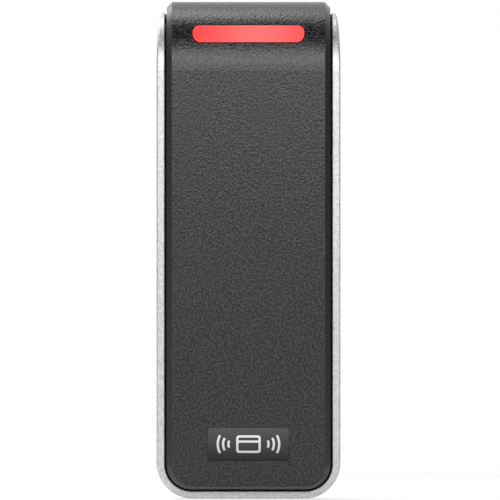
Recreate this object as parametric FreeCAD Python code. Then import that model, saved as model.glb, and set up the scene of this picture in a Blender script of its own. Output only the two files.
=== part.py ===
import FreeCAD, Part
import math
import os

# Slim wall-mounted contactless card reader: a backplate that is screwed to the wall, and a reader head that
# hooks over its top and is locked by one screw from below.
# Millimetres. X runs to the right, Y into the wall (the wall is Y = 0) and Z up.
# In this file "depth" is the distance in front of the wall (Y = -depth) and "height" is the distance above
# the reader's bottom edge. The finished pieces are lowered so that Z = 0 is midway between the wall slots.

V = FreeCAD.Vector
BEYOND = 140.0  # longer than anything, for cutting right through
SAME = 0.001  # lengths closer than this are the same length

# Overall
WIDTH = 45.0
HEIGHT = 121.5
DEPTH = 19.5
SLOT_MIDDLE = HEIGHT / 2

# Rolled shoulder: every skin is flat up to SHOULDER_Z, then turns about this line and runs back to the wall
SHOULDER_Z = 104.5
SHOULDER_D = DEPTH - (HEIGHT - SHOULDER_Z)

# Silver frame
FRAME_FRONT = 16.8
FRAME_CORNER = 8.9
FRAME_EDGE = 0.5
DRAFT_SIDE = 1.4
DRAFT_BOTTOM = 0.6
REAR_GAP = 0.3
LEDGE = 15.8
RIM_HALF = 20.45
RIM_BOTTOM = 1.9
RIM_CORNER = 6.5
RIM_EDGE = 0.25
OPENING_HALF = 19.0
OPENING_BOTTOM = 3.5
OPENING_TOP = 115.0
OPENING_CORNER = 5.1
REAR_LIP = 1.2
REAR_LIP_Z = 113.5
BAY_HALF = 20.1
BAY_BOTTOM = 2.6
BAY_CORNER = 6.2
BAY_DEPTH = 7.8
CEILING = 115.4
CEILING_SKIN = 14.0

# Black cover
COVER_HALF = 20.0
COVER_BOTTOM = 2.35
COVER_CORNER = 6.1
BEVEL_W = 1.3
BEVEL_DEPTH = 1.4
FACE_HALF = COVER_HALF - BEVEL_W
FACE_BOTTOM = 2.95
FACE_CORNER = 5.1
COVER_SKIN = 2.2
COVER_WALL = 1.8
COVER_REAR_WALL = 2.0
SEAL = 0.4
SEAL_INSET = 0.1
SEAL_SIDE_GAP = 0.05
SEAL_LIP = 16.5
COVER_BASE = LEDGE + SEAL
WALL_RELIEF_FOOT = 115.4
WALL_RELIEF_TOP = 2.0

# Light bar
LENS_HALF = 13.6
LENS_LOW = 111.5
LENS_HIGH = 115.6
LENS_WAIST = 113.75
LENS_SHOULDER = 0.5
LENS_KNEE = 0.65
LENS_INSETS = (1.4, 0.42, 0.0, 0.5, 1.7)  # how far the ends stand in: top, shoulder, waist, knee, bottom
LENS_GAP = 0.15
LENS_SET_BACK = 0.05
FLANGE = 0.7
FLANGE_THICK = 0.8
FLANGE_GAP = 0.05
GUIDE_HALF = 13.2
GUIDE_LOW = 104.2
GUIDE_HIGH = 114.6
GUIDE_GAP = 0.15
GUIDE_HEEL = 11.6
GUIDE_STEP = 108.0
LED_COUNT = 8
LED_PITCH = 3.4
LED_SIDE = 1.6
LED_THICK = 0.7
LED_WELL_R = 0.55
LED_WELL = 0.3
LED_Z = 105.8

# Badge
BADGE_W = 19.8
BADGE_H = 8.0
BADGE_Z = 13.4
BADGE_CORNER = 0.6
BADGE_GAP = 0.1
BADGE_THICK = 0.6
BADGE_SET_BACK = 0.1
CARD_W = 6.0
CARD_H = 4.3
CARD_CORNER = 0.7
STROKE = 0.55
STRIPE_Z = 0.35
WAVE_SHIFT = 0.2
WAVE_RADII = (1.7, 3.0, 4.3)
WAVE_SWEEP = 60.0

# Hinge between the backplate hooks and the head
HINGE_D = 5.0
HINGE_Z = CEILING
BEAD_R = 0.8
GROOVE_R = 0.85
HOOK_X = 10.0
HOOK_HALF = 4.0
STEM_HALF = 0.5
ARM_LOW = 109.0
ARM_HIGH = 113.0
RIB_D = 3.8
RIB_THICK = 1.2
RIB_DROP = 1.2

# Backplate
PLATE = 2.2
PLATE_HALF = 19.6
PLATE_BOTTOM = 3.4
PLATE_TOP = 113.0
PLATE_CORNER = 5.6
CORE_X = (6.0, 16.0)
CORE_Z = ((12.0, 40.0), (75.0, 106.0))
CORE_CORNER = 1.5
CORE_DEPTH = 0.6
ARROW_W = 5.0
ARROW_LOW = 75.0
ARROW_HIGH = 84.0
ARROW_DEPTH = 0.3
SLOT_SPACING = 83.3
SLOT_R = 2.1
SLOT_LENGTH = 7.0
CABLE_W = 16.0
CABLE_LOW = 45.0
CABLE_HIGH = 68.0
CABLE_CORNER = 3.0
STIFFENER = 0.8
TAB_HALF = 6.0
TAB_LOW = 5.2
TAB_HIGH = 9.6
TAB_FRONT = 9.0

# Security screw
SCREW_D = 5.8
SCREW_R = 1.75
SCREW_CORE_R = 1.4
SCREW_PITCH = 0.794
SCREW_LENGTH = 9.5
SCREW_HEAD_R = 3.2
SCREW_HEAD_H = 2.0
SCREW_HEAD_Z = 0.8
SCREW_HEAD_EDGE = 0.8
SCREW_CLEARANCE = 0.3
SCREW_NECK = 0.4
SCREW_POINT = 1.2
LOBES = 6
LOBE_CIRCLE = 1.15
LOBE_R = 0.4
RECESS = 1.3
PIN_DROP = 0.3
COUNTERBORE = 2.9
BOSS_HALF = 5.2
BOSS_TOP = 4.2
BOSS_D = (3.4, 9.4)
SCREW_BAY_TOP = 13.0
SCREW_BAY_FLOOR = 10.2
WEB = 1.2

# Circuit board
BOARD_REAR = 13.4
BOARD_FRONT = 15.0
BOARD_HALF = 18.3
BOARD_LOW = 5.6
BOARD_HIGH = 107.6
BOARD_CORNER = 3.0
SMALL_SCREW_R = 1.0
SMALL_HOLE_R = 1.1
SMALL_HEAD_R = 1.9
SMALL_HEAD_H = 1.2
SMALL_HEAD_EDGE = 0.5
POST_R = 2.1
POST_X = 15.9
POST_Z = (12.0, 103.6)
POST_PILOT = 3.2
BOARD_SCREW_LENGTH = 4.6
CROSS_W = 2.0
CROSS_SLOT = 0.45
CROSS_DEPTH = 0.6

# Antennas
HF_HALF = 17.9
HF_LOW = 18.0
HF_HIGH = 97.0
HF_CORNER = 5.0
HF_TURNS = 3
HF_STEP = 1.2
TRACK_W = 0.7
COPPER = 0.1
FEED_HALF = 1.5
FERRITE_W = 29.0
FERRITE_H = 60.0
FERRITE_Z = 54.0
FERRITE_CORNER = 2.0
FERRITE_THICK = 0.4
COIL_HALF = 14.0
COIL_LOW = 26.0
COIL_HIGH = 82.0
COIL_CORNER = 9.0
COIL_W = 2.8
COIL_THICK = 1.3
COIL_GAP = 0.05

# Parts on the rear of the board: centre x and z, side and thickness of each square chip
CONTROLLER = (-7.2, 102.2, 9.0, 1.0)
RADIO = (4.2, 102.6, 6.0, 0.9)
SECURE = (11.6, 36.6, 5.0, 0.9)
CHIP_CORNER = 0.25
DIMPLE_R = 0.35
DIMPLE_DEPTH = 0.12
DIMPLE_INSET = 0.9
CRYSTAL_X = 10.6
CRYSTAL_Z = 104.4
CRYSTAL_W = 3.2
CRYSTAL_H = 2.5
CRYSTAL_CORNER = 0.5
CRYSTAL_THICK = 0.8
POWER_Z = 22.0
INDUCTOR_X = 8.6
INDUCTOR_SIDE = 6.2
INDUCTOR_CORNER = 1.2
INDUCTOR_THICK = 2.8
INDUCTOR_WELL_R = 2.3
INDUCTOR_WELL = 0.3
CAN_X = (-8.8, -0.8)
CAN_R = 3.1
CAN_H = 5.4
CAN_FOOT = 6.6
CAN_FOOT_CORNER = 0.8
CAN_FOOT_THICK = 0.8
SOUNDER_X = -2.0
SOUNDER_Z = 34.0
SOUNDER_R = 6.3
SOUNDER_H = 3.2
SOUNDER_EDGE = 0.4
SOUND_HOLE_R = 1.0
SOUNDER_FLOOR = 1.0

# Tamper sensing: the sensor looks through a clear rod at the backplate
SENSOR_X = 10.6
SENSOR_Z = 97.6
SENSOR_SIDE = 3.0
SENSOR_CORNER = 0.3
SENSOR_THICK = 1.1
ROD_R = 1.2
ROD_GAP = 0.1
ROD_CLEARANCE = 0.05
ROD_FLANGE_R = 1.9
ROD_FLANGE = 0.8

# Wireless module on the front of the board
MODULE_HALF = 5.0
MODULE_Z = (97.8, 103.8)
MODULE_THICK = 0.5
CAN_COVER = (-1.2, 100.8, 6.8, 5.2)
CAN_COVER_CORNER = 0.6
CAN_COVER_THICK = 1.2

# Rear cover
REAR_COVER = (6.0, 7.4)
REAR_COVER_HALF = 19.7
REAR_COVER_LOW = SCREW_BAY_TOP + WEB + 0.2
REAR_COVER_HIGH = 114.3
REAR_COVER_CORNER = 1.5
POCKET_HALF = 16.4
POCKET_LOW = 43.2
POCKET_HIGH = 91.2
POCKET_FLOOR = (12.2, 13.0)
SEAL_RING = 0.6
LUG_X = 16.2
LUG_Z = (22.0, 97.0)
LUG_R = 2.6
LUG_FRONT = 12.6
LUG_PILOT = 12.0
REAR_SCREW_LENGTH = 5.4

# Pluggable terminals, two of five ways
WAYS = 5
PITCH = 2.54
TERMINAL_X = 8.0
HEADER_W = 13.7
HEADER_D = (6.0, BOARD_REAR)
HEADER_Z = (79.5, 89.4)
HEADER_WALL = 0.7
SOCKET_D = (6.7, 12.1)
SOCKET_Z = 86.2
PIN_R = 0.4
PIN_D = 9.4
PIN_LOW = 80.6
PIN_BEND_Z = 88.2
PIN_TAIL = 0.4
PLUG_W = 13.4
PLUG_D = (6.2, 12.0)
PLUG_LOW = 69.5
PLUG_SHOULDER = 79.3
PLUG_NOSE = 86.0
FIT = 0.1
WIRE_R = 0.85
WIRE_REACH = 7.0
CLAMP_R = 0.95
CLAMP_FIT = 0.05
CLAMP_SLOT = 0.3
CLAMP_SLOT_DEPTH = 0.5
CLAMP_Z = 73.4
CLAMP_DEPTH = (6.6, 8.5)


def same(a, b):
    """Whether two lengths agree as far as the drawing goes."""
    return abs(a - b) < SAME


def block(x0, x1, d0, d1, z0, z1):
    """Block between two depths and two heights."""
    return Part.makeBox(x1 - x0, d1 - d0, z1 - z0, V(x0, -d1, z0))


def peg(r, d0, d1, x, z):
    """Round bar pointing at the viewer."""
    return Part.makeCylinder(r, d1 - d0, V(x, -d1, z), V(0, 1, 0))


def crossbar(r, x0, x1, d, z):
    """Round bar running left to right."""
    return Part.makeCylinder(r, x1 - x0, V(x0, -d, z), V(1, 0, 0))


def upright(r, z0, z1, x, d):
    """Round bar standing upright."""
    return Part.makeCylinder(r, z1 - z0, V(x, -d, z0), V(0, 0, 1))


def fused(shapes):
    """One solid from touching pieces."""
    first, *others = shapes
    return first.fuse(others).removeSplitter()


def outline(half, low, high, corner, depth):
    """Closed outline facing the viewer, square at the top and with rounded bottom corners."""
    lean = corner * (1 - math.sqrt(0.5))

    def at(x, z):
        return V(x, -depth, z)

    left_arc = Part.Arc(at(-half, low + corner), at(-half + lean, low + lean), at(-half + corner, low))
    right_arc = Part.Arc(at(half - corner, low), at(half - lean, low + lean), at(half, low + corner))
    edges = [
        Part.makeLine(at(-half, high), at(-half, low + corner)),
        left_arc.toShape(),
        Part.makeLine(at(-half + corner, low), at(half - corner, low)),
        right_arc.toShape(),
        Part.makeLine(at(half, low + corner), at(half, high)),
        Part.makeLine(at(half, high), at(-half, high)),
    ]
    return Part.Wire(edges)


def slab(half, low, high, corner, d0, d1):
    """Plate of the same outline from one depth to another."""
    return Part.Face(outline(half, low, high, corner, d1)).extrude(V(0, d1 - d0, 0))


def rounded(x, z, w, h, corner, d0, d1):
    """Plate with four rounded corners, centred on x and z."""
    plate = block(x - w / 2, x + w / 2, d0, d1, z - h / 2, z + h / 2)
    across = [e for e in plate.Edges if same(e.Length, d1 - d0) and same(abs(e.tangentAt(0).y), 1)]
    return plate.makeFillet(corner, across)


def profile(points, half):
    """Bar running left to right whose end section is given as depth and height pairs."""
    corners = [V(-half, -d, z) for d, z in points]
    face = Part.Face(Part.makePolygon(corners + corners[:1]))
    return face.extrude(V(2 * half, 0, 0))


def behind(front):
    """Everything behind the skin that lies this far in front of the wall on the flat of the reader."""
    radius = front - SHOULDER_D
    lean = radius * math.sqrt(0.5)

    def at(d, z):
        return V(-BEYOND / 2, -d, z)

    turn = Part.Arc(
        at(front, SHOULDER_Z),
        at(SHOULDER_D + lean, SHOULDER_Z + lean),
        at(SHOULDER_D, SHOULDER_Z + radius),
    )
    edges = [
        Part.makeLine(at(-1, -BEYOND), at(front, -BEYOND)),
        Part.makeLine(at(front, -BEYOND), at(front, SHOULDER_Z)),
        turn.toShape(),
        Part.makeLine(at(SHOULDER_D, SHOULDER_Z + radius), at(-1, SHOULDER_Z + radius)),
        Part.makeLine(at(-1, SHOULDER_Z + radius), at(-1, -BEYOND)),
    ]
    return Part.Face(Part.Wire(edges)).extrude(V(BEYOND, 0, 0))


def between(back, front):
    """The layer between two skins."""
    return behind(front).cut(behind(back))


def wall_relief():
    """Wedge cut off the top rear edge of the head, which keeps it off the wall while the head tilts."""
    slope = (WALL_RELIEF_TOP - REAR_GAP) / (HEIGHT - WALL_RELIEF_FOOT)
    reach = REAR_GAP + slope * (BEYOND - WALL_RELIEF_FOOT)
    points = [(-1, 0), (REAR_GAP, 0), (REAR_GAP, WALL_RELIEF_FOOT), (reach, BEYOND), (-1, BEYOND)]
    return profile(points, BEYOND / 2)


def on_skin(point, front):
    """Whether a point lies on the skin that belongs to this flat depth."""
    radius = front - SHOULDER_D
    depth, height = -point.y, point.z
    if height <= SHOULDER_Z:
        return same(depth, front)
    if depth >= SHOULDER_D:
        return same(math.hypot(depth - SHOULDER_D, height - SHOULDER_Z), radius)
    return same(height - SHOULDER_Z, radius)


def lies_on_skin(edge, front):
    """Whether a whole edge lies on the skin that belongs to this flat depth."""
    first, last = edge.ParameterRange
    return all(on_skin(edge.valueAt(first + t * (last - first)), front) for t in (0, 0.3, 0.5, 0.8, 1))


def frame_blank():
    """Drafted outer shape of the silver frame with its softened front edge."""
    rear = outline(WIDTH / 2 - DRAFT_SIDE, DRAFT_BOTTOM, BEYOND, FRAME_CORNER - DRAFT_BOTTOM, REAR_GAP)
    front = outline(WIDTH / 2, 0, BEYOND, FRAME_CORNER, FRAME_FRONT)
    blank = Part.makeLoft([rear, front], True, True).common(behind(FRAME_FRONT))
    rim = []
    for edge in blank.Edges:
        across_top = edge.BoundBox.XLength > WIDTH / 2 and edge.BoundBox.ZMax > SHOULDER_Z - 1
        if lies_on_skin(edge, FRAME_FRONT) and not across_top:
            rim.append(edge)
    return blank.makeFillet(FRAME_EDGE, rim)


def rim_softened(ring):
    """The frame with its inner front edge rounded, beside the cover."""
    edges = []
    for edge in ring.Edges:
        inside = all(abs(v.X) < RIM_HALF + FIT and v.Z > RIM_BOTTOM - FIT for v in edge.Vertexes)
        if inside and lies_on_skin(edge, FRAME_FRONT) and edge.BoundBox.ZMin < SHOULDER_Z + 1:
            edges.append(edge)
    return ring.makeFillet(RIM_EDGE, edges)


def head_frame():
    """Silver frame: outer walls, ledge for the cover, bay for the backplate, hinge groove and screw boss."""
    rim = slab(RIM_HALF, RIM_BOTTOM, BEYOND, RIM_CORNER, -1, BEYOND).cut(behind(LEDGE))
    front_opening = slab(OPENING_HALF, OPENING_BOTTOM, OPENING_TOP, OPENING_CORNER, BAY_DEPTH + REAR_LIP, BEYOND)
    rear_opening = slab(OPENING_HALF, OPENING_BOTTOM, REAR_LIP_Z, OPENING_CORNER, -1, BEYOND)
    bay = slab(BAY_HALF, BAY_BOTTOM, CEILING, BAY_CORNER, -1, BAY_DEPTH)
    room = bay.common(behind(CEILING_SKIN))
    ring = rim_softened(frame_blank().cut([rim, front_opening, rear_opening, room]))
    shelf = block(-BAY_HALF, BAY_HALF, REAR_COVER[0], SCREW_BAY_FLOOR + WEB, SCREW_BAY_TOP, SCREW_BAY_TOP + WEB)
    floor = slab(BAY_HALF, BAY_BOTTOM, SCREW_BAY_TOP + WEB, BAY_CORNER, SCREW_BAY_FLOOR, SCREW_BAY_FLOOR + WEB)
    boss = block(-BOSS_HALF, BOSS_HALF, *BOSS_D, BAY_BOTTOM - 1, BOSS_TOP)
    rib = block(-BAY_HALF, BAY_HALF, RIB_D - RIB_THICK, RIB_D, CEILING - RIB_DROP, CEILING)
    lugs = []
    for x in (-LUG_X, LUG_X):
        for z in LUG_Z:
            inner, outer = sorted((x, math.copysign(OPENING_HALF + 1, x)))
            lugs.append(peg(LUG_R, BAY_DEPTH, LUG_FRONT, x, z))
            lugs.append(block(inner, outer, BAY_DEPTH, LUG_FRONT, z - LUG_R, z + LUG_R))
    frame = fused([ring, shelf, floor, boss, rib] + lugs)
    cuts = [
        wall_relief(),
        crossbar(GROOVE_R, -BAY_HALF, BAY_HALF, HINGE_D, HINGE_Z),
        upright(SCREW_R + SCREW_CLEARANCE, -1, BOSS_TOP + 1, 0, SCREW_D),
        upright(SCREW_HEAD_R + SCREW_CLEARANCE, -1, COUNTERBORE, 0, SCREW_D),
    ]
    cuts += [peg(SMALL_HOLE_R, BAY_DEPTH - 1, LUG_PILOT, x, z) for x in (-LUG_X, LUG_X) for z in LUG_Z]
    return frame.cut(cuts)


def cover_blank():
    """Outer shape of the cover: bevelled flat face, rolled over the shoulder and back along the top."""
    step = DEPTH - BEVEL_DEPTH
    lower = slab(COVER_HALF, COVER_BOTTOM, SHOULDER_Z, COVER_CORNER, 0, step)
    base = outline(COVER_HALF, COVER_BOTTOM, SHOULDER_Z, COVER_CORNER, step)
    face = outline(FACE_HALF, FACE_BOTTOM, SHOULDER_Z, FACE_CORNER, DEPTH)
    bevelled = Part.makeLoft([base, face], True, True)
    corners = [
        V(-COVER_HALF, -SHOULDER_D, SHOULDER_Z),
        V(-COVER_HALF, -step, SHOULDER_Z),
        V(-FACE_HALF, -DEPTH, SHOULDER_Z),
        V(FACE_HALF, -DEPTH, SHOULDER_Z),
        V(COVER_HALF, -step, SHOULDER_Z),
        V(COVER_HALF, -SHOULDER_D, SHOULDER_Z),
    ]
    section = Part.Face(Part.makePolygon(corners + corners[:1]))
    hub = V(0, -SHOULDER_D, SHOULDER_Z)
    rolled = section.revolve(hub, V(-1, 0, 0), 90)
    crown = section.copy()
    crown.rotate(hub, V(-1, 0, 0), 90)
    return fused([lower, bevelled, rolled, crown.extrude(V(0, SHOULDER_D, 0))])


def lens_plan(grow):
    """Light-bar outline seen from the front: rounder shoulders above, ends leaning in towards the bottom."""
    high = LENS_HIGH + grow
    low = LENS_LOW - grow
    end = LENS_HALF + grow
    heights = (high, high - LENS_SHOULDER, LENS_WAIST, low + LENS_KNEE, low)
    corners = [(end - inset, z) for inset, z in zip(LENS_INSETS, heights)]

    def at(side, corner):
        return V(side * corner[0], 0, corner[1])

    edges = [Part.makeLine(at(-1, corners[0]), at(1, corners[0]))]
    edges += [Part.Arc(*[at(1, c) for c in corners[i:i + 3]]).toShape() for i in (0, 2)]
    edges.append(Part.makeLine(at(1, corners[-1]), at(-1, corners[-1])))
    edges += [Part.Arc(*[at(-1, c) for c in corners[i::-1][:3]]).toShape() for i in (4, 2)]
    return Part.Face(Part.Wire(edges)).extrude(V(0, -BEYOND, 0))


def front_cover():
    """Black front cover with the light-bar slot, the badge recess and four posts for the circuit board."""
    inner_corner = COVER_CORNER - COVER_WALL
    tray = slab(COVER_HALF - COVER_WALL, COVER_BOTTOM + COVER_WALL, BEYOND, inner_corner,
                WALL_RELIEF_TOP + COVER_REAR_WALL, BEYOND)
    skin = cover_blank().cut([behind(COVER_BASE), tray.common(behind(DEPTH - COVER_SKIN)), wall_relief()])
    posts = [peg(POST_R, BOARD_FRONT, DEPTH - COVER_SKIN / 2, x, z) for x in (-POST_X, POST_X) for z in POST_Z]
    pilot = [peg(SMALL_HOLE_R, 0, BOARD_FRONT + POST_PILOT, x, z) for x in (-POST_X, POST_X) for z in POST_Z]
    recess = rounded(0, BADGE_Z, BADGE_W + 2 * BADGE_GAP, BADGE_H + 2 * BADGE_GAP, BADGE_CORNER + BADGE_GAP,
                     DEPTH - BADGE_SET_BACK - BADGE_THICK, DEPTH + 1)
    return fused([skin] + posts).cut(pilot + [recess, lens_plan(LENS_GAP)])


def cover_seal():
    """Gasket between the ledge of the frame and the cover, with a lip that fills the gap beside the cover."""
    def plate(half, low, corner, grow):
        return slab(half + grow, low - grow, BEYOND, corner + grow, -1, BEYOND)

    outer = plate(RIM_HALF, RIM_BOTTOM, RIM_CORNER, -SEAL_SIDE_GAP)
    inner = slab(OPENING_HALF + SEAL_INSET, OPENING_BOTTOM - SEAL_INSET, BEYOND, OPENING_CORNER + SEAL_INSET,
                 WALL_RELIEF_TOP + COVER_REAR_WALL - SEAL, BEYOND)
    seat = outer.cut(inner).common(between(LEDGE, COVER_BASE))
    cover_room = plate(COVER_HALF, COVER_BOTTOM, COVER_CORNER, SEAL_SIDE_GAP)
    lip = outer.cut(cover_room).common(between(COVER_BASE, SEAL_LIP))
    return fused([seat, lip]).cut(wall_relief())


def light_lens():
    """Diffusing lens, flush with the rolled shoulder, on a flange that bears on the inside of the cover."""
    root = DEPTH - COVER_SKIN - FLANGE_GAP
    bar = lens_plan(0).common(between(root - FLANGE_THICK, DEPTH - LENS_SET_BACK))
    flange = lens_plan(FLANGE).common(between(root - FLANGE_THICK, root))
    return fused([bar, flange])


def light_guide():
    """Clear block that spreads the light of the diodes up to the lens."""
    points = [
        (BEYOND / 2, GUIDE_LOW),
        (BOARD_FRONT + LED_THICK + GUIDE_GAP, GUIDE_LOW),
        (BOARD_FRONT + LED_THICK + GUIDE_GAP, GUIDE_STEP),
        (GUIDE_HEEL, GUIDE_STEP),
        (GUIDE_HEEL, GUIDE_HIGH),
        (BEYOND / 2, GUIDE_HIGH),
    ]
    return profile(points, GUIDE_HALF).common(behind(DEPTH - COVER_SKIN - FLANGE_THICK - GUIDE_GAP))


def status_leds():
    """Row of diodes under the light guide."""
    half = LED_SIDE / 2
    row = []
    for i in range(LED_COUNT):
        x = (i - (LED_COUNT - 1) / 2) * LED_PITCH
        body = block(x - half, x + half, BOARD_FRONT, BOARD_FRONT + LED_THICK, LED_Z - half, LED_Z + half)
        well = peg(LED_WELL_R, BOARD_FRONT + LED_THICK - LED_WELL, BEYOND, x, LED_Z)
        row.append(body.cut(well))
    return Part.makeCompound(row)


def badge_plate():
    """Glossy badge let into the cover."""
    front = DEPTH - BADGE_SET_BACK
    return rounded(0, BADGE_Z, BADGE_W, BADGE_H, BADGE_CORNER, front - BADGE_THICK, front)


def wave(side, radius, d0, d1):
    """One arc of a radio wave beside the card."""
    outer = Part.makeCylinder(radius + STROKE / 2, d1 - d0, V(0, -d1, 0), V(0, 1, 0), WAVE_SWEEP)
    inner = Part.makeCylinder(radius - STROKE / 2, d1 - d0, V(0, -d1, 0), V(0, 1, 0), WAVE_SWEEP)
    arc = outer.cut(inner).Solids[0]
    bearing = math.degrees(math.atan2(-arc.CenterOfMass.z, arc.CenterOfMass.x))
    arc.rotate(V(0, 0, 0), V(0, 1, 0), (0 if side > 0 else 180) - bearing)
    arc.translate(V(side * (CARD_W / 2 + WAVE_SHIFT), 0, BADGE_Z))
    return arc


def badge_pictogram():
    """Raised picture of a card between radio waves."""
    d0, d1 = DEPTH - BADGE_SET_BACK, DEPTH
    card = rounded(0, BADGE_Z, CARD_W, CARD_H, CARD_CORNER, d0, d1)
    hollow = rounded(0, BADGE_Z, CARD_W - 2 * STROKE, CARD_H - 2 * STROKE, CARD_CORNER / 2, d0 - 1, d1 + 1)
    reach = (CARD_W - STROKE) / 2
    stripe = block(-reach, reach, d0, d1, BADGE_Z + STRIPE_Z, BADGE_Z + STRIPE_Z + STROKE)
    pieces = [card.cut(hollow).fuse(stripe).removeSplitter()]
    pieces += [wave(side, radius, d0, d1) for side in (-1, 1) for radius in WAVE_RADII]
    return Part.makeCompound(pieces)


def way_xs():
    """Centre of every terminal way, left to right."""
    offsets = [(i - (WAYS - 1) / 2) * PITCH for i in range(WAYS)]
    return [side * TERMINAL_X + offset for side in (-1, 1) for offset in offsets]


def main_board():
    """Circuit board with its screw and pin holes."""
    board = rounded(0, (BOARD_LOW + BOARD_HIGH) / 2, 2 * BOARD_HALF, BOARD_HIGH - BOARD_LOW, BOARD_CORNER,
                    BOARD_REAR, BOARD_FRONT)
    holes = [peg(SMALL_HOLE_R, 0, BEYOND, x, z) for x in (-POST_X, POST_X) for z in POST_Z]
    holes += [peg(PIN_R + FIT, 0, BEYOND, x, PIN_BEND_Z) for x in way_xs()]
    return board.cut(holes)


def loop(half, low, high, corner, width, d0, d1):
    """Flat rounded loop of one turn."""
    middle = (low + high) / 2
    outer = rounded(0, middle, 2 * half, high - low, corner, d0, d1)
    inner = rounded(0, middle, 2 * (half - width), high - low - 2 * width, corner - width, d0 - 1, d1 + 1)
    return outer.cut(inner)


def hf_antenna():
    """Printed turns round the edge of the board, for high-frequency cards, with their feed strip."""
    front = BOARD_FRONT + COPPER
    turns = []
    for i in range(HF_TURNS):
        inset = HF_STEP * i
        turns.append(loop(HF_HALF - inset, HF_LOW + inset, HF_HIGH - inset, HF_CORNER - inset, TRACK_W,
                          BOARD_FRONT, front))
    feed_top = HF_LOW + HF_STEP * (HF_TURNS - 1) + TRACK_W
    feed = block(-FEED_HALF, FEED_HALF, BOARD_FRONT, front, HF_LOW + TRACK_W / 2, feed_top)
    return fused(turns + [feed])


def ferrite_sheet():
    """Magnetic sheet that keeps the low-frequency field off the board."""
    return rounded(0, FERRITE_Z, FERRITE_W, FERRITE_H, FERRITE_CORNER, BOARD_FRONT, BOARD_FRONT + FERRITE_THICK)


def lf_antenna_coil():
    """Wound oval coil for low-frequency cards."""
    rear = BOARD_FRONT + FERRITE_THICK + COIL_GAP
    return loop(COIL_HALF, COIL_LOW, COIL_HIGH, COIL_CORNER, COIL_W, rear, rear + COIL_THICK)


def chip(x, z, side, thick):
    """Square package on the rear of the board, with its orientation dimple."""
    rear = BOARD_REAR - thick
    body = rounded(x, z, side, side, CHIP_CORNER, rear, BOARD_REAR)
    reach = side / 2 - DIMPLE_INSET
    return body.cut(peg(DIMPLE_R, 0, rear + DIMPLE_DEPTH, x - reach, z + reach))


def wireless_module():
    """Phone radio module on the front of the board: small board with a shield can."""
    step = BOARD_FRONT + MODULE_THICK
    carrier = block(-MODULE_HALF, MODULE_HALF, BOARD_FRONT, step, *MODULE_Z)
    return fused([carrier, rounded(*CAN_COVER, CAN_COVER_CORNER, step, step + CAN_COVER_THICK)])


def crystal():
    """Clock crystal."""
    return rounded(CRYSTAL_X, CRYSTAL_Z, CRYSTAL_W, CRYSTAL_H, CRYSTAL_CORNER, BOARD_REAR - CRYSTAL_THICK,
                   BOARD_REAR)


def power_inductor():
    """Shielded coil of the power supply."""
    rear = BOARD_REAR - INDUCTOR_THICK
    body = rounded(INDUCTOR_X, POWER_Z, INDUCTOR_SIDE, INDUCTOR_SIDE, INDUCTOR_CORNER, rear, BOARD_REAR)
    return body.cut(peg(INDUCTOR_WELL_R, 0, rear + INDUCTOR_WELL, INDUCTOR_X, POWER_Z))


def smoothing_capacitors():
    """Two upright can capacitors on square feet."""
    cans = []
    for x in CAN_X:
        step = BOARD_REAR - CAN_FOOT_THICK
        foot = rounded(x, POWER_Z, CAN_FOOT, CAN_FOOT, CAN_FOOT_CORNER, step, BOARD_REAR)
        cans.append(fused([foot, peg(CAN_R, BOARD_REAR - CAN_H, step, x, POWER_Z)]))
    return Part.makeCompound(cans)


def rear_rim(shape, rear):
    """Edges of a shape that lie wholly at this depth."""
    return [e for e in shape.Edges if same(e.BoundBox.YMin, -rear) and same(e.BoundBox.YMax, -rear)]


def sounder():
    """Round piezo sounder with its sound hole."""
    rear = BOARD_REAR - SOUNDER_H
    body = peg(SOUNDER_R, rear, BOARD_REAR, SOUNDER_X, SOUNDER_Z)
    hole = peg(SOUND_HOLE_R, 0, BOARD_REAR - SOUNDER_FLOOR, SOUNDER_X, SOUNDER_Z)
    return body.makeFillet(SOUNDER_EDGE, rear_rim(body, rear)).cut(hole)


def tamper_sensor():
    """Optical sensor that watches the backplate."""
    return rounded(SENSOR_X, SENSOR_Z, SENSOR_SIDE, SENSOR_SIDE, SENSOR_CORNER, BOARD_REAR - SENSOR_THICK,
                   BOARD_REAR)


def tamper_window():
    """Clear rod that lets the sensor look out through the rear cover."""
    rod = peg(ROD_R, REAR_COVER[0], BOARD_REAR - SENSOR_THICK - ROD_GAP, SENSOR_X, SENSOR_Z)
    flange = peg(ROD_FLANGE_R, REAR_COVER[1], REAR_COVER[1] + ROD_FLANGE, SENSOR_X, SENSOR_Z)
    return fused([rod, flange])


def terminal_header(side):
    """Board-mounted socket strip, open downwards."""
    x0, x1 = side * TERMINAL_X - HEADER_W / 2, side * TERMINAL_X + HEADER_W / 2
    body = block(x0, x1, *HEADER_D, *HEADER_Z)
    socket = block(x0 + HEADER_WALL, x1 - HEADER_WALL, *SOCKET_D, HEADER_Z[0] - 1, SOCKET_Z)
    return body.cut([socket] + pins(FIT / 2))


def pins(grow):
    """Right-angle contact pins of both headers."""
    shapes = []
    for x in way_xs():
        contact = upright(PIN_R + grow, PIN_LOW, PIN_BEND_Z, x, PIN_D)
        elbow = Part.makeSphere(PIN_R + grow, V(x, -PIN_D, PIN_BEND_Z))
        tail = peg(PIN_R + grow, PIN_D, BOARD_FRONT + PIN_TAIL, x, PIN_BEND_Z)
        shapes.append(fused([contact, elbow, tail]))
    return shapes


def header_pins():
    """All contact pins as one group."""
    return Part.makeCompound(pins(0))


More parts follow.
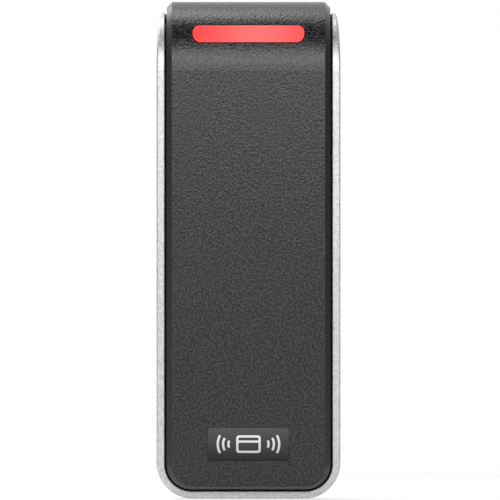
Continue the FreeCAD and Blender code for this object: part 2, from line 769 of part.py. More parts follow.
def terminal_plug(side):
    """Pull-off plug with wire entries below and clamp screws at the rear."""
    middle = side * TERMINAL_X
    half = PLUG_W / 2
    nose_half = HEADER_W / 2 - HEADER_WALL - FIT
    body = block(middle - half, middle + half, *PLUG_D, PLUG_LOW, PLUG_SHOULDER)
    nose = block(middle - nose_half, middle + nose_half, SOCKET_D[0] + FIT, PLUG_D[1], PLUG_SHOULDER, PLUG_NOSE)
    holes = []
    for x in way_xs():
        if abs(x - middle) < half:
            holes.append(upright(WIRE_R, PLUG_LOW - 1, PLUG_LOW + WIRE_REACH, x, PIN_D))
            holes.append(upright(PIN_R + FIT, PIN_LOW - 1, PLUG_NOSE + 1, x, PIN_D))
            holes.append(peg(CLAMP_R, 0, PIN_D, x, CLAMP_Z))
    return fused([body, nose]).cut(holes)


def clamp_screws():
    """Slotted clamp screws of both plugs as one group."""
    shapes = []
    for x in way_xs():
        screw = peg(CLAMP_R - CLAMP_FIT, *CLAMP_DEPTH, x, CLAMP_Z)
        slot = block(x - 1, x + 1, 0, CLAMP_DEPTH[0] + CLAMP_SLOT_DEPTH, CLAMP_Z - CLAMP_SLOT / 2,
                     CLAMP_Z + CLAMP_SLOT / 2)
        shapes.append(screw.cut(slot))
    return Part.makeCompound(shapes)


def rear_cover():
    """Plate that closes the electronics at the back, with a deep pocket for the wiring and the plugs."""
    middle = (REAR_COVER_LOW + REAR_COVER_HIGH) / 2
    plate = rounded(0, middle, 2 * REAR_COVER_HALF, REAR_COVER_HIGH - REAR_COVER_LOW, REAR_COVER_CORNER,
                    *REAR_COVER)
    tub = block(-POCKET_HALF - WEB, POCKET_HALF + WEB, REAR_COVER[0], POCKET_FLOOR[1],
                POCKET_LOW - WEB, POCKET_HIGH + WEB)
    hollow = block(-POCKET_HALF, POCKET_HALF, 0, POCKET_FLOOR[0], POCKET_LOW, POCKET_HIGH)
    cuts = [hollow]
    for side in (-1, 1):
        x = side * TERMINAL_X
        reach = HEADER_W / 2 + FIT
        cuts.append(block(x - reach, x + reach, 0, BEYOND, HEADER_Z[0] - FIT, HEADER_Z[1] + FIT))
    cuts += [peg(SMALL_HOLE_R, 0, BEYOND, x, z) for x in (-LUG_X, LUG_X) for z in LUG_Z]
    cuts.append(peg(ROD_R + ROD_CLEARANCE, 0, BEYOND, SENSOR_X, SENSOR_Z))
    return fused([plate, tub]).cut(cuts)


def rear_seal():
    """Gasket ring between the rear cover and its ledge in the frame."""
    middle = (REAR_COVER_LOW + REAR_COVER_HIGH) / 2
    height = REAR_COVER_HIGH - REAR_COVER_LOW
    outer = rounded(0, middle, 2 * REAR_COVER_HALF, height, REAR_COVER_CORNER, REAR_COVER[1], BAY_DEPTH)
    inner = rounded(0, middle, 2 * (REAR_COVER_HALF - SEAL_RING), height - 2 * SEAL_RING,
                    REAR_COVER_CORNER - SEAL_RING, 0, BEYOND)
    return outer.cut(inner)


def small_screw(x, z, head_face, length):
    """Pan-head screw driven from the rear, its head resting on the given depth."""
    top = head_face - SMALL_HEAD_H
    head = peg(SMALL_HEAD_R, top, head_face, x, z)
    head = head.makeFillet(SMALL_HEAD_EDGE, rear_rim(head, top))
    shank = peg(SMALL_SCREW_R, head_face, head_face + length, x, z)
    cross = []
    for w, h in ((CROSS_W, CROSS_SLOT), (CROSS_SLOT, CROSS_W)):
        cross.append(block(x - w / 2, x + w / 2, 0, top + CROSS_DEPTH, z - h / 2, z + h / 2))
    return fused([head, shank]).cut(cross)


def board_screws():
    """Four screws that hold the board to the cover posts."""
    return Part.makeCompound([
        small_screw(x, z, BOARD_REAR, BOARD_SCREW_LENGTH) for x in (-POST_X, POST_X) for z in POST_Z
    ])


def rear_cover_screws():
    """Four screws that hold the rear cover to the lugs of the frame."""
    return Part.makeCompound([
        small_screw(x, z, REAR_COVER[0], REAR_SCREW_LENGTH) for x in (-LUG_X, LUG_X) for z in LUG_Z
    ])


def wall_side_cuts():
    """Shallow cored panels on the wall side of the backplate, and an arrow that points up."""
    cuts = []
    for low, high in CORE_Z:
        for side in (-1, 1):
            x = side * sum(CORE_X) / 2
            cuts.append(rounded(x, (low + high) / 2, CORE_X[1] - CORE_X[0], high - low, CORE_CORNER, -1,
                                CORE_DEPTH))
    shoulder = ARROW_HIGH - ARROW_W / 2
    stem = ARROW_W / 6
    points = [(0, ARROW_HIGH), (ARROW_W / 2, shoulder), (stem, shoulder), (stem, ARROW_LOW), (-stem, ARROW_LOW),
              (-stem, shoulder), (-ARROW_W / 2, shoulder)]
    corners = [V(x, 1, z) for x, z in points]
    cuts.append(Part.Face(Part.makePolygon(corners + corners[:1])).extrude(V(0, -1 - ARROW_DEPTH, 0)))
    return cuts


def backplate():
    """Wall plate with two upright slots, the cable opening, two hinge hooks and the screw tab."""
    plate = slab(PLATE_HALF, PLATE_BOTTOM, PLATE_TOP, PLATE_CORNER, 0, PLATE)
    edge = slab(PLATE_HALF, PLATE_BOTTOM, PLATE_TOP, PLATE_CORNER, PLATE, PLATE + STIFFENER)
    edge = edge.cut(slab(PLATE_HALF - WEB, PLATE_BOTTOM + WEB, PLATE_TOP - WEB, PLATE_CORNER - WEB, 0, BEYOND))
    collar_middle = (CABLE_LOW + CABLE_HIGH) / 2
    cable_h = CABLE_HIGH - CABLE_LOW
    collar = rounded(0, collar_middle, CABLE_W + 2 * WEB, cable_h + 2 * WEB, CABLE_CORNER + WEB,
                     0, PLATE + STIFFENER)
    pieces = [plate, edge, collar]
    for x in (-HOOK_X, HOOK_X):
        x0, x1 = x - HOOK_HALF, x + HOOK_HALF
        pieces.append(block(x0, x1, 0, HINGE_D + STEM_HALF, ARM_LOW, ARM_HIGH))
        pieces.append(block(x0, x1, HINGE_D - STEM_HALF, HINGE_D + STEM_HALF, ARM_LOW, HINGE_Z))
        pieces.append(crossbar(BEAD_R, x0, x1, HINGE_D, HINGE_Z))
    pieces.append(block(-TAB_HALF, TAB_HALF, 0, TAB_FRONT, TAB_LOW, TAB_HIGH))
    notch_half = SCREW_R + SCREW_CLEARANCE
    cuts = [
        rounded(0, collar_middle, CABLE_W, cable_h, CABLE_CORNER, -1, BEYOND),
        upright(notch_half, 0, TAB_HIGH + 1, 0, SCREW_D),
        block(-notch_half, notch_half, SCREW_D, BEYOND, 0, TAB_HIGH + 1),
    ]
    cuts += wall_side_cuts()
    for z in (SLOT_MIDDLE - SLOT_SPACING / 2, SLOT_MIDDLE + SLOT_SPACING / 2):
        reach = SLOT_LENGTH / 2 - SLOT_R
        cuts.append(peg(SLOT_R, -1, BEYOND, 0, z - reach))
        cuts.append(peg(SLOT_R, -1, BEYOND, 0, z + reach))
        cuts.append(block(-SLOT_R, SLOT_R, -1, BEYOND, z - reach, z + reach))
    return fused(pieces).cut(cuts)


def security_screw():
    """Tamper-resistant locking screw: domed head with a pinned six-lobe recess, ringed shank, plain tip."""
    head_top = SCREW_HEAD_Z + SCREW_HEAD_H
    tip = head_top + SCREW_LENGTH
    head = upright(SCREW_HEAD_R, SCREW_HEAD_Z, head_top, 0, SCREW_D)
    low_rim = [e for e in head.Edges if same(e.BoundBox.ZMax, SCREW_HEAD_Z)]
    head = head.makeFillet(SCREW_HEAD_EDGE, low_rim)
    rings = int((SCREW_LENGTH - SCREW_POINT) / SCREW_PITCH)
    points = [(0, head_top), (SCREW_CORE_R, head_top)]
    for i in range(rings):
        start = head_top + SCREW_NECK + i * SCREW_PITCH
        points += [(SCREW_CORE_R, start), (SCREW_R, start + SCREW_PITCH / 2)]
    points += [(SCREW_CORE_R, head_top + SCREW_NECK + rings * SCREW_PITCH), (SCREW_CORE_R / 2, tip), (0, tip)]
    corners = [V(r, -SCREW_D, z) for r, z in points]
    shank = Part.Face(Part.makePolygon(corners + corners[:1])).revolve(V(0, -SCREW_D, 0), V(0, 0, 1), 360)
    floor = SCREW_HEAD_Z + RECESS
    recess = [upright(LOBE_CIRCLE, 0, floor, 0, SCREW_D)]
    for i in range(LOBES):
        angle = 2 * math.pi * i / LOBES
        x, d = LOBE_CIRCLE * math.cos(angle), SCREW_D + LOBE_CIRCLE * math.sin(angle)
        recess.append(upright(LOBE_R, 0, floor, x, d))
    pin = upright(LOBE_R, SCREW_HEAD_Z + PIN_DROP, floor + PIN_DROP, 0, SCREW_D)
    return fused([fused([head, shank]).cut(recess), pin])


PIECES = {
    "backplate": backplate(),
    "silver_frame": head_frame(),
    "front_cover": front_cover(),
    "cover_seal": cover_seal(),
    "light_lens": light_lens(),
    "light_guide": light_guide(),
    "status_leds": status_leds(),
    "badge_plate": badge_plate(),
    "badge_pictogram": badge_pictogram(),
    "main_board": main_board(),
    "hf_antenna": hf_antenna(),
    "lf_antenna_coil": lf_antenna_coil(),
    "ferrite_sheet": ferrite_sheet(),
    "controller_chip": chip(*CONTROLLER),
    "radio_chip": chip(*RADIO),
    "secure_chip": chip(*SECURE),
    "wireless_module": wireless_module(),
    "crystal": crystal(),
    "power_inductor": power_inductor(),
    "smoothing_capacitors": smoothing_capacitors(),
    "sounder": sounder(),
    "tamper_sensor": tamper_sensor(),
    "tamper_window": tamper_window(),
    "terminal_header_left": terminal_header(-1),
    "terminal_header_right": terminal_header(1),
    "header_pins": header_pins(),
    "terminal_plug_left": terminal_plug(-1),
    "terminal_plug_right": terminal_plug(1),
    "clamp_screws": clamp_screws(),
    "rear_cover": rear_cover(),
    "rear_seal": rear_seal(),
    "rear_cover_screws": rear_cover_screws(),
    "board_screws": board_screws(),
    "security_screw": security_screw(),
}

os.makedirs("parts", exist_ok=True)
for name, shape in PIECES.items():
    shape.translate(V(0, 0, -SLOT_MIDDLE))
    shape.exportStep(f"parts/{name}.step")
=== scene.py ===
import math

import bpy
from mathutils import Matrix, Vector


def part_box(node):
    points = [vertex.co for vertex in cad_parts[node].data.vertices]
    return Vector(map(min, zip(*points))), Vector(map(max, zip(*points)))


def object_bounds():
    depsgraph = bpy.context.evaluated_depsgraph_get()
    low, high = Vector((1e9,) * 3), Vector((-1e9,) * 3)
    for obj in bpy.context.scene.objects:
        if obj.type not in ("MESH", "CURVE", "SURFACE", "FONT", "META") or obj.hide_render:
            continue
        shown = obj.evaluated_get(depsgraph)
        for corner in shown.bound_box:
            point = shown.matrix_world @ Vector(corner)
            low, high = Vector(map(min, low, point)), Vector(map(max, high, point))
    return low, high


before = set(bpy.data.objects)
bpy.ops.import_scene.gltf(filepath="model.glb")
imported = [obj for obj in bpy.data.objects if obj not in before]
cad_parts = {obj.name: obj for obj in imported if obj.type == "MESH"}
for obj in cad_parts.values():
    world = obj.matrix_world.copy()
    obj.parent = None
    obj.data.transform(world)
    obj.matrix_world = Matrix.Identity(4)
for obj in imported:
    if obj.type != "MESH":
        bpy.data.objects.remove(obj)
cad_low, cad_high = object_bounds()

MM = 0.001

# The reader's own box and the two inserts of its face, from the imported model. Front is towards -Y.
FRONT, BOTTOM = cad_low[1], cad_low[2]
TOP = cad_high[2]
LENS_LOW, LENS_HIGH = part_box("light_lens")
BADGE_LOW, BADGE_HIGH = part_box("badge_plate")


# ---------------------------------------------------------------- node helpers

# Where most values of a noise pattern lie
NOISE_LOW = 0.3
NOISE_HIGH = 0.7


class Shader:
    """A material's node tree, with short calls for the nodes used here."""

    def __init__(self, name, **sockets):
        """Sockets are plain values of the surface shader, with _ for the spaces in their names."""
        self.material = bpy.data.materials.new(name)
        self.material.use_nodes = True
        self.tree = self.material.node_tree
        self.body = self.tree.nodes["Principled BSDF"]
        for label, value in sockets.items():
            self.body.inputs[label.replace("_", " ")].default_value = value

    def node(self, kind, **settings):
        made = self.tree.nodes.new("ShaderNode" + kind)
        for label, value in settings.items():
            setattr(made, label, value)
        return made

    def link(self, source, target):
        self.tree.links.new(source, target)

    def feed(self, target, value):
        """Links a socket, or sets a plain number or colour."""
        if isinstance(value, bpy.types.NodeSocket):
            self.link(value, target)
        else:
            target.default_value = value

    def place(self):
        """Position on the piece, in metres of the reader's own frame."""
        return self.node("TexCoord").outputs["Object"]

    def facing(self):
        """Normal of the piece in the reader's own frame."""
        return self.node("TexCoord").outputs["Normal"]

    def math(self, operation, a, b=0.0):
        made = self.node("Math", operation=operation)
        for socket, value in zip(made.inputs, (a, b)):
            self.feed(socket, value)
        return made.outputs[0]

    def part(self, vector, axis):
        """One coordinate of a vector: 0 across, 1 in depth, 2 upwards."""
        split = self.node("SeparateXYZ")
        self.link(vector, split.inputs[0])
        return split.outputs[axis]

    def stretch(self, vector, scale):
        """Multiplies each coordinate, so a pattern runs along the smaller ones."""
        made = self.node("VectorMath", operation="MULTIPLY")
        self.link(vector, made.inputs[0])
        made.inputs[1].default_value = scale
        return made.outputs[0]

    def span(self, value, low, high, to_low=0.0, to_high=1.0, smooth=True):
        """Maps low..high to to_low..to_high, clamped."""
        made = self.node("MapRange", interpolation_type="SMOOTHSTEP" if smooth else "LINEAR")
        for socket, item in zip(made.inputs, (value, low, high, to_low, to_high)):
            self.feed(socket, item)
        return made.outputs[0]

    def noise(self, size, detail=2.0, roughness=0.5, vector=None):
        """Noise whose features are about this many metres across."""
        made = self.node("TexNoise")
        self.link(vector or self.place(), made.inputs["Vector"])
        made.inputs["Scale"].default_value = 1.0 / size
        made.inputs["Detail"].default_value = detail
        made.inputs["Roughness"].default_value = roughness
        return made.outputs["Fac"]

    def patches(self, size, to_low=0.0, to_high=1.0, detail=2.0, vector=None):
        """Noise pulled out to the whole range between two levels."""
        return self.span(self.noise(size, detail, vector=vector), NOISE_LOW, NOISE_HIGH, to_low, to_high)

    def cells(self, size, output="Distance", feature="F1", vector=None):
        """Rounded cells about this many metres across."""
        made = self.node("TexVoronoi", feature=feature)
        self.link(vector or self.place(), made.inputs["Vector"])
        made.inputs["Scale"].default_value = 1.0 / size
        return made.outputs[output]

    def mix(self, factor, a, b):
        """Colour a at factor 0, colour b at factor 1."""
        made = self.node("Mix", data_type="RGBA")
        self.feed(made.inputs["Factor"], factor)
        self.feed(made.inputs["A"], a)
        self.feed(made.inputs["B"], b)
        return made.outputs["Result"]

    def bump(self, height, depth, strength=1.0):
        """Relief of the given depth in metres."""
        made = self.node("Bump")
        made.inputs["Strength"].default_value = strength
        made.inputs["Distance"].default_value = depth
        self.feed(made.inputs["Height"], height)
        return made.outputs["Normal"]

    def into(self, label, value):
        """Feeds a socket of the surface shader."""
        self.feed(self.body.inputs[label], value)


def grey(level):
    return (level, level, level, 1.0)


def tint(r, g, b):
    return (r, g, b, 1.0)


# ---------------------------------------------------------------- materials of the outside

# The black cover: how far the normal turns where its bevelled rim begins
RIM_TURN = 0.2

# Its grain: width of the pebbles, of the finer drift between them and of the specks of tone, how
# much pebbles and drift add to the relief, and the relief's depth
GRAIN = 0.60 * MM
DRIFT = 0.36 * MM
SPECKLE = 0.50 * MM
PEBBLE_SHARE = 0.6
DRIFT_SHARE = 0.8
GRAIN_RELIEF = 0.08 * MM

# The quarter circle over which the face rolls back at the top
SHOULDER_R = 17.0 * MM
SHOULDER_D = -FRONT - SHOULDER_R
SHOULDER_Z = TOP - SHOULDER_R

# The silver paint: width of its flakes and clouds, how much the flakes add, and the relief's depth
FLAKE = 0.36 * MM
CLOUD = 0.5 * MM
FLAKE_SHARE = 0.35
PAINT_RELIEF = 0.06 * MM

# The lens: how far right of its middle its glow is brightest and how far off it is dimmest, as shares
# of its half width, and how deep below the face the painted shade down its sides begins and is full
LENS_BRIGHTEST = 0.15
LENS_DIMMEST = 1.1
LENS_SHADE_START = 0.3 * MM
LENS_SHADE_FULL = 1.2 * MM


def skin_depth(s):
    """How far in front of the wall the skin through a point is, measured on the flat of the reader."""
    place = s.place()
    forward = s.math("MULTIPLY", s.part(place, 1), -1.0)
    out = s.math("MAXIMUM", s.math("SUBTRACT", forward, SHOULDER_D), 0.0)
    up = s.math("MAXIMUM", s.math("SUBTRACT", s.part(place, 2), SHOULDER_Z), 0.0)
    reach = s.math("SQRT", s.math("ADD", s.math("MULTIPLY", out, out), s.math("MULTIPLY", up, up)))
    return s.math("ADD", reach, SHOULDER_D)


def on_rim(s):
    """1 on the bevelled rim and the sides of the cover, 0 on its face and its rolled top."""
    normal = s.facing()
    sideways = s.math("ABSOLUTE", s.part(normal, 0))
    downward = s.math("MAXIMUM", s.math("MULTIPLY", s.part(normal, 2), -1.0), 0.0)
    return s.math("GREATER_THAN", s.math("ADD", sideways, downward), RIM_TURN)


def black_cover():
    """Leather-grained black plastic; the bevelled rim is smooth."""
    pit, crest, rim_black = tint(0.001, 0.001, 0.002), tint(0.031, 0.031, 0.035), grey(0.003)
    face_roughness, rim_roughness = grey(0.29), grey(0.26)
    s = Shader("black_cover", Roughness=0.29, IOR=1.56)
    rim = on_rim(s)
    pebbles = s.math("MULTIPLY", s.cells(GRAIN, feature="SMOOTH_F1"), PEBBLE_SHARE)
    drift = s.math("MULTIPLY", s.noise(DRIFT), DRIFT_SHARE)
    inside = s.math("SUBTRACT", 1.0, rim)
    s.into("Normal", s.bump(s.math("MULTIPLY", s.math("ADD", pebbles, drift), inside), GRAIN_RELIEF))
    speckle = s.span(s.noise(SPECKLE, detail=0.0), low=0.40, high=0.66)
    s.into("Base Color", s.mix(rim, s.mix(speckle, pit, crest), rim_black))
    s.into("Roughness", s.mix(rim, face_roughness, rim_roughness))
    return s.material


def silver_paint():
    """Fine metallic paint with bright flakes."""
    s = Shader("silver_paint", Metallic=1.0, Roughness=0.5)
    flakes = s.part(s.cells(FLAKE, output="Color"), 0)
    clouds = s.math("MULTIPLY", s.noise(CLOUD), 1.0 - FLAKE_SHARE)
    level = s.math("ADD", s.math("MULTIPLY", flakes, FLAKE_SHARE), clouds)
    s.into("Base Color", s.mix(s.span(level, low=0.25, high=0.75), grey(0.51), grey(0.69)))
    s.into("Roughness", s.span(flakes, low=0.0, high=1.0, to_low=0.45, to_high=0.55))
    s.into("Normal", s.bump(level, PAINT_RELIEF, strength=0.6))
    return s.material


def red_lens():
    """Lit diffusing plastic: brightest right of the middle, with painted shade down its sides towards
    the root.
    """
    # The third colour is painted shade: near black red down the lens's sides in its recess
    bright, dim, painted_recess_shade = tint(1.0, 0.150, 0.148), tint(0.86, 0.050, 0.048), tint(0.02, 0.0, 0.0)
    s = Shader("red_lens", Roughness=0.25, Emission_Strength=1.0)
    half = (LENS_HIGH.x - LENS_LOW.x) / 2
    across = s.math("SUBTRACT", s.part(s.place(), 0), LENS_BRIGHTEST * half)
    off_centre = s.math("ABSOLUTE", s.math("DIVIDE", across, half))
    glow = s.mix(s.span(off_centre, 0.0, LENS_DIMMEST), bright, dim)
    # Painted shade in the recess: deeper below the face the sides stop glowing and turn dark red
    clear_of_recess_shade = s.span(skin_depth(s), -FRONT - LENS_SHADE_FULL, -FRONT - LENS_SHADE_START)
    s.into("Base Color", tint(0.45, 0.03, 0.03))
    s.into("Emission Color", s.mix(clear_of_recess_shade, painted_recess_shade, glow))
    return s.material


def up_the_badge(s):
    """0 at the lower edge of the badge, 1 at its upper edge; it drives the painted shading of the badge.
    """
    return s.span(s.part(s.place(), 2), BADGE_LOW.z, BADGE_HIGH.z, smooth=False)


def badge_gloss():
    """Polished dark insert with a painted reflection: paler towards its upper edge, darker towards its
    lower edge.
    """
    s = Shader("badge_gloss", Roughness=0.16)
    # Painted reflection of the light above: the colour runs from near black at the lower edge to paler
    # at the upper edge
    s.into("Base Color", s.mix(up_the_badge(s), tint(0.003, 0.003, 0.004), tint(0.080, 0.080, 0.088)))
    s.into("Roughness", s.patches(1.5 * MM, to_low=0.13, to_high=0.19))
    return s.material


def badge_silver():
    """Bright printed metal with a painted sheen, paler towards the badge's upper edge."""
    s = Shader("badge_silver", Metallic=0.5, Roughness=0.45)
    fine = s.patches(0.2 * MM, to_low=0.94, to_high=1.0)
    # Painted sheen: the print's colour pales from the lower edge to the upper edge of the badge
    s.into("Base Color", s.mix(s.math("MULTIPLY", up_the_badge(s), fine), grey(0.5), grey(0.9)))
    return s.material


# ---------------------------------------------------------------- materials of the inside and back

TRACK_PITCH = 1.27 * MM
WIRE_PITCH = 0.22 * MM
HEADER_GREEN = tint(0.015, 0.130, 0.055)
PLUG_GREEN = tint(0.022, 0.165, 0.070)
SCREW_STEEL = tint(0.66, 0.67, 0.69)

# Share of its light that the darker tone of a plastic or a metal keeps
PLASTIC_SHADE = 0.8
METAL_SHADE = 0.82


def darker(colour, share):
    return tint(*(channel * share for channel in colour[:3]))


def moulded(name, colour, roughness=0.5, grain=0.3 * MM, depth=0.02 * MM, shine=0.5):
    """Moulded plastic or rubber: a faint spark-eroded surface and slight change of tone."""
    s = Shader(name, Roughness=roughness, Specular_IOR_Level=shine)
    fine = s.noise(grain, detail=3.0)
    s.into("Base Color", s.mix(s.patches(9 * MM), darker(colour, PLASTIC_SHADE), colour))
    s.into("Roughness", s.span(fine, NOISE_LOW, NOISE_HIGH, roughness - 0.06, roughness + 0.06))
    s.into("Normal", s.bump(fine, depth, strength=0.6))
    return s.material


def chip(name, level, roughness=0.45):
    """Fine moulded epoxy of a chip's package."""
    return moulded(name, grey(level), roughness, grain=0.15 * MM, depth=0.01 * MM)


def metal(name, colour, roughness=0.3, brushed=(1, 1, 1)):
    """Bare or plated metal with fine machining marks, long where brushed is small."""
    s = Shader(name, Metallic=1.0, Roughness=roughness)
    marks = s.noise(0.12 * MM, detail=3.0, vector=s.stretch(s.place(), brushed))
    stain = s.patches(2.5 * MM, detail=3.0)
    s.into("Base Color", s.mix(stain, darker(colour, METAL_SHADE), colour))
    s.into("Roughness", s.span(marks, 0.25, 0.75, roughness - 0.08, roughness + 0.1))
    s.into("Normal", s.bump(marks, 0.01 * MM, strength=0.5))
    return s.material


def board_green():
    """Solder mask over a web of copper tracks, drawn out up and down the board."""
    s = Shader("board_green", Roughness=0.28)
    upright = s.stretch(s.place(), (1, 0, 0.12))
    tracks = s.cells(TRACK_PITCH, feature="DISTANCE_TO_EDGE", vector=upright)
    copper = s.span(tracks, low=0.09, high=0.12, to_low=1.0, to_high=0.0)
    mask = s.mix(s.noise(6 * MM), tint(0.010, 0.085, 0.032), tint(0.016, 0.125, 0.050))
    s.into("Base Color", s.mix(copper, mask, tint(0.045, 0.24, 0.085)))
    s.into("Normal", s.bump(copper, 0.035 * MM, strength=0.6))
    return s.material


def coil_wire():
    """Fine enamelled wire wound side by side, with painted shade in the grooves between the turns."""
    s = Shader("coil_wire", Metallic=0.9, Roughness=0.32)
    turns = s.math("SINE", s.math("MULTIPLY", s.part(s.place(), 1), 2 * math.pi / WIRE_PITCH))
    # Painted shade: the copper colour darkens into the grooves between the turns and is palest along
    # their crests
    s.into("Base Color", s.mix(s.span(turns, -1.0, 1.0), tint(0.22, 0.06, 0.02), tint(0.72, 0.30, 0.13)))
    s.into("Normal", s.bump(turns, 0.05 * MM, strength=0.8))
    return s.material


def clear_plastic():
    """Clear moulded light pipe."""
    s = Shader("clear_plastic", Roughness=0.08, IOR=1.49, Transmission_Weight=0.9)
    s.into("Base Color", s.mix(s.noise(3 * MM), tint(0.90, 0.93, 0.94), tint(0.97, 0.98, 0.98)))
    return s.material


def diode_body():
    """Cream diode package, faintly lit from inside."""
    s = Shader("diode_body", Roughness=0.4, Emission_Color=tint(1.0, 0.12, 0.10), Emission_Strength=0.6)
    s.into("Base Color", s.mix(s.noise(0.3 * MM), tint(0.80, 0.77, 0.62), tint(0.92, 0.89, 0.76)))
    return s.material


MAKERS = {
    "silver_frame": silver_paint,
    "front_cover": black_cover,
    "light_lens": red_lens,
    "badge_plate": badge_gloss,
    "badge_pictogram": badge_silver,
    "backplate": lambda: moulded("plate_plastic", grey(0.030), 0.55, grain=0.5 * MM, depth=0.05 * MM),
    "rear_cover": lambda: moulded("rear_plastic", grey(0.036), grain=0.4 * MM, depth=0.04 * MM),
    # Black rubber darkened further and given almost no shine: partly the seal's own colour, partly
    # painted shade in the gap between cover and frame
    "cover_seal": lambda: moulded("seal_rubber", grey(0.004), roughness=0.75, shine=0.08),
    "rear_seal": lambda: moulded("rear_seal_rubber", grey(0.05), roughness=0.75),
    "light_guide": clear_plastic,
    "tamper_window": clear_plastic,
    "status_leds": diode_body,
    "main_board": board_green,
    "hf_antenna": lambda: metal("antenna_copper", tint(0.83, 0.47, 0.29)),
    "lf_antenna_coil": coil_wire,
    "ferrite_sheet": lambda: moulded("ferrite", grey(0.075), roughness=0.7, grain=0.2 * MM),
    "power_inductor": lambda: moulded("inductor_body", grey(0.060), roughness=0.6, grain=0.2 * MM),
    "controller_chip": lambda: chip("chip_epoxy", 0.020, roughness=0.42),
    "radio_chip": lambda: chip("radio_epoxy", 0.024),
    "secure_chip": lambda: chip("secure_epoxy", 0.028),
    "tamper_sensor": lambda: moulded("sensor_plastic", tint(0.035, 0.012, 0.045), roughness=0.2),
    "sounder": lambda: moulded("sounder_plastic", grey(0.026), roughness=0.35, grain=0.25 * MM),
    "wireless_module": lambda: metal("shield_can", tint(0.72, 0.72, 0.69), roughness=0.32),
    "crystal": lambda: metal("crystal_can", tint(0.78, 0.77, 0.74), roughness=0.25),
    "smoothing_capacitors": lambda: metal("capacitor_can", tint(0.80, 0.80, 0.81), 0.28, (1, 0.1, 1)),
    "header_pins": lambda: metal("pin_tin", tint(0.80, 0.74, 0.60), 0.25, (1, 1, 0.1)),
    "clamp_screws": lambda: metal("clamp_steel", tint(0.70, 0.70, 0.70)),
    "rear_cover_screws": lambda: metal("cover_screw_steel", SCREW_STEEL),
    "board_screws": lambda: metal("board_screw_steel", SCREW_STEEL),
    "security_screw": lambda: metal("security_steel", tint(0.60, 0.60, 0.61), 0.28, (1, 1, 4)),
    "terminal_header_left": lambda: moulded("header_nylon", HEADER_GREEN, roughness=0.45),
    "terminal_header_right": lambda: moulded("header_nylon_right", HEADER_GREEN, roughness=0.45),
    "terminal_plug_left": lambda: moulded("plug_nylon", PLUG_GREEN, roughness=0.45),
    "terminal_plug_right": lambda: moulded("plug_nylon_right", PLUG_GREEN, roughness=0.45),
}


def dress_nodes():
    """Gives every carried-over node its own material."""
    for name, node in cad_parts.items():
        node.data.materials.clear()
        node.data.materials.append(MAKERS[name]())


# ---------------------------------------------------------------- surroundings

# The camera: its distance from the front of the silver frame, the width that it sees there, how far
# right of the middle it stands, and the width of its sensor in millimetres
CAMERA_DISTANCE = 4.5
FRAME_WIDTH = 122.05 * MM
AIM_X = 0.37 * MM
SENSOR_WIDTH = 36.0

FLOOR_RADIUS = 0.50
FLOOR_CORNERS = 96
FLOOR_GLOW = 0.50

# Dark card overhead: its height above the horizon in front, and the angles from its middle over
# which it fades, all in degrees
CARD_ELEVATION = 80.0
CARD_INNER = 21.0
CARD_OUTER = 46.0
CARD_LEVEL = 0.03

# Levels of the surroundings in front, to the left and to the right
FRONT_LEVEL = 0.35
LEFT_LEVEL = 0.48
RIGHT_LEVEL = 0.34

# How each change of level fades in, as cosines of the angle from straight ahead, from straight
# sideways and from straight down
FRONT_FADE = (-0.2, 0.8)
SIDE_FADE = (0.5, 0.95)
UNDER_FADE = (0.10, 0.22)


class Sky:
    """The world's node tree: brightness as a function of direction."""

    def __init__(self):
        world = bpy.data.worlds.new("studio")
        bpy.context.scene.world = world
        world.use_nodes = True
        self.tree = world.node_tree
        self.direction = self.tree.nodes.new("ShaderNodeTexCoord").outputs["Generated"]

    def towards(self, aim):
        """Cosine of the angle from a fixed direction."""
        dot = self.tree.nodes.new("ShaderNodeVectorMath")
        dot.operation = "DOT_PRODUCT"
        self.tree.links.new(self.direction, dot.inputs[0])
        dot.inputs[1].default_value = aim
        return dot.outputs["Value"]

    def ramp(self, value, low, high, to_low, to_high):
        """Maps low..high to to_low..to_high, eased and clamped."""
        made = self.tree.nodes.new("ShaderNodeMapRange")
        made.interpolation_type = "SMOOTHSTEP"
        self.tree.links.new(value, made.inputs["Value"])
        ends = {"From Min": low, "From Max": high, "To Min": to_low, "To Max": to_high}
        for label, item in ends.items():
            made.inputs[label].default_value = item
        return made.outputs["Result"]

    def both(self, a, b):
        """Product of two levels."""
        made = self.tree.nodes.new("ShaderNodeMath")
        made.operation = "MULTIPLY"
        self.tree.links.new(a, made.inputs[0])
        self.tree.links.new(b, made.inputs[1])
        return made.outputs[0]

    def blend(self, factor, a, b):
        """Level a at factor 0, the plain number b at factor 1."""
        made = self.tree.nodes.new("ShaderNodeMix")
        self.tree.links.new(factor, made.inputs["Factor"])
        self.tree.links.new(a, made.inputs["A"])
        made.inputs["B"].default_value = b
        return made.outputs["Result"]

    def shine(self, level):
        """Sets the brightness of the surroundings."""
        background = self.tree.nodes["Background"]
        self.tree.links.new(level, background.inputs["Strength"])


def world_light():
    """Pale surroundings, darker in front and beside, with a dark card overhead and pale underneath."""
    sky = Sky()
    sky.tree.nodes["Background"].inputs["Color"].default_value = grey(1.0)
    front = sky.ramp(sky.towards((0, -1, 0)), *FRONT_FADE, 1.0, FRONT_LEVEL)
    left = sky.ramp(sky.towards((-1, 0, 0)), *SIDE_FADE, 1.0, LEFT_LEVEL)
    right = sky.ramp(sky.towards((1, 0, 0)), *SIDE_FADE, 1.0, RIGHT_LEVEL)
    tilt = math.radians(CARD_ELEVATION)
    outer, inner = math.cos(math.radians(CARD_OUTER)), math.cos(math.radians(CARD_INNER))
    card = sky.ramp(sky.towards((0, -math.cos(tilt), math.sin(tilt))), outer, inner, 1.0, CARD_LEVEL)
    around = sky.both(sky.both(front, card), sky.both(left, right))
    under = sky.ramp(sky.towards((0, 0, -1)), *UNDER_FADE, 0.0, 1.0)
    sky.shine(sky.blend(under, around, 1.0))


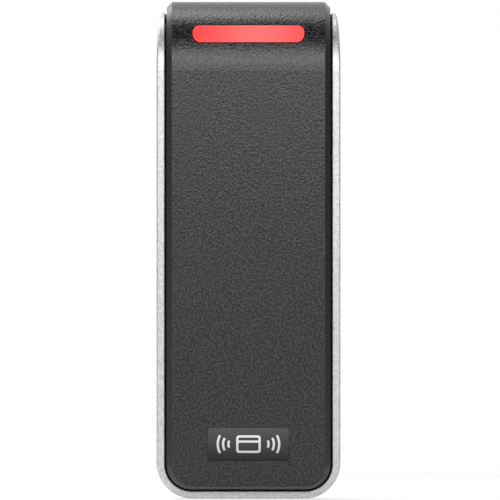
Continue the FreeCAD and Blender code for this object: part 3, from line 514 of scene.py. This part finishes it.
def soft_light(name, place, aim, size, radiance):
    """Large soft lamp of this radiance pointed at a spot."""
    lamp = bpy.data.lights.new(name, "AREA")
    lamp.shape = "RECTANGLE"
    lamp.size, lamp.size_y = size
    lamp.energy = radiance * math.pi * size[0] * size[1]
    made = bpy.data.objects.new(name, lamp)
    made.location = place
    made.rotation_euler = (Vector(aim) - Vector(place)).to_track_quat("-Z", "Y").to_euler()
    bpy.context.scene.collection.objects.link(made)


def studio_lamps():
    """Soft lamps high in front, overhead to the left, and a small one behind on the left."""
    soft_light("front_high", place=(0.0, -0.34, 0.178), aim=(0.0, 0.0, 0.178),
               size=(0.50, 0.226), radiance=3.15)
    soft_light("overhead", place=(-0.25, 0.17, 0.60), aim=(-0.25, 0.17, 0.0),
               size=(0.54, 0.25), radiance=5.0)
    soft_light("behind_left", place=(-0.40, 0.65, 0.34), aim=(0.0, 0.0, 0.04),
               size=(0.28, 0.28), radiance=1.4)


def floor_paint():
    """Pale matt paint that glows a little, so the floor stays pale all over."""
    s = Shader("floor_paint", Roughness=0.9, Specular_IOR_Level=0.0)
    s.into("Base Color", s.mix(s.noise(60 * MM), grey(0.58), grey(0.62)))
    s.into("Emission Color", grey(1.0))
    s.into("Emission Strength", FLOOR_GLOW)
    return s.material


def pale_floor():
    """Round pale table top that the reader stands on."""
    turns = [2 * math.pi * i / FLOOR_CORNERS for i in range(FLOOR_CORNERS)]
    rim = [(FLOOR_RADIUS * math.cos(turn), FLOOR_RADIUS * math.sin(turn), BOTTOM) for turn in turns]
    mesh = bpy.data.meshes.new("floor")
    mesh.from_pydata(rim, [], [range(FLOOR_CORNERS)])
    mesh.materials.append(floor_paint())
    floor = bpy.data.objects.new("floor", mesh)
    bpy.context.scene.collection.objects.link(floor)


def front_camera():
    """Straight on, at the reader's mid height, through a long lens."""
    lens = bpy.data.cameras.new("camera")
    lens.sensor_width = SENSOR_WIDTH
    lens.lens = SENSOR_WIDTH * CAMERA_DISTANCE / FRAME_WIDTH
    camera = bpy.data.objects.new("camera", lens)
    frame_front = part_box("silver_frame")[0].y
    camera.location = (AIM_X, frame_front - CAMERA_DISTANCE, (TOP + BOTTOM) / 2)
    camera.rotation_euler = (math.pi / 2, 0.0, 0.0)
    bpy.context.scene.collection.objects.link(camera)
    bpy.context.scene.camera = camera


dress_nodes()
world_light()
studio_lamps()
pale_floor()
front_camera()
bpy.context.scene.view_settings.view_transform = "Standard"
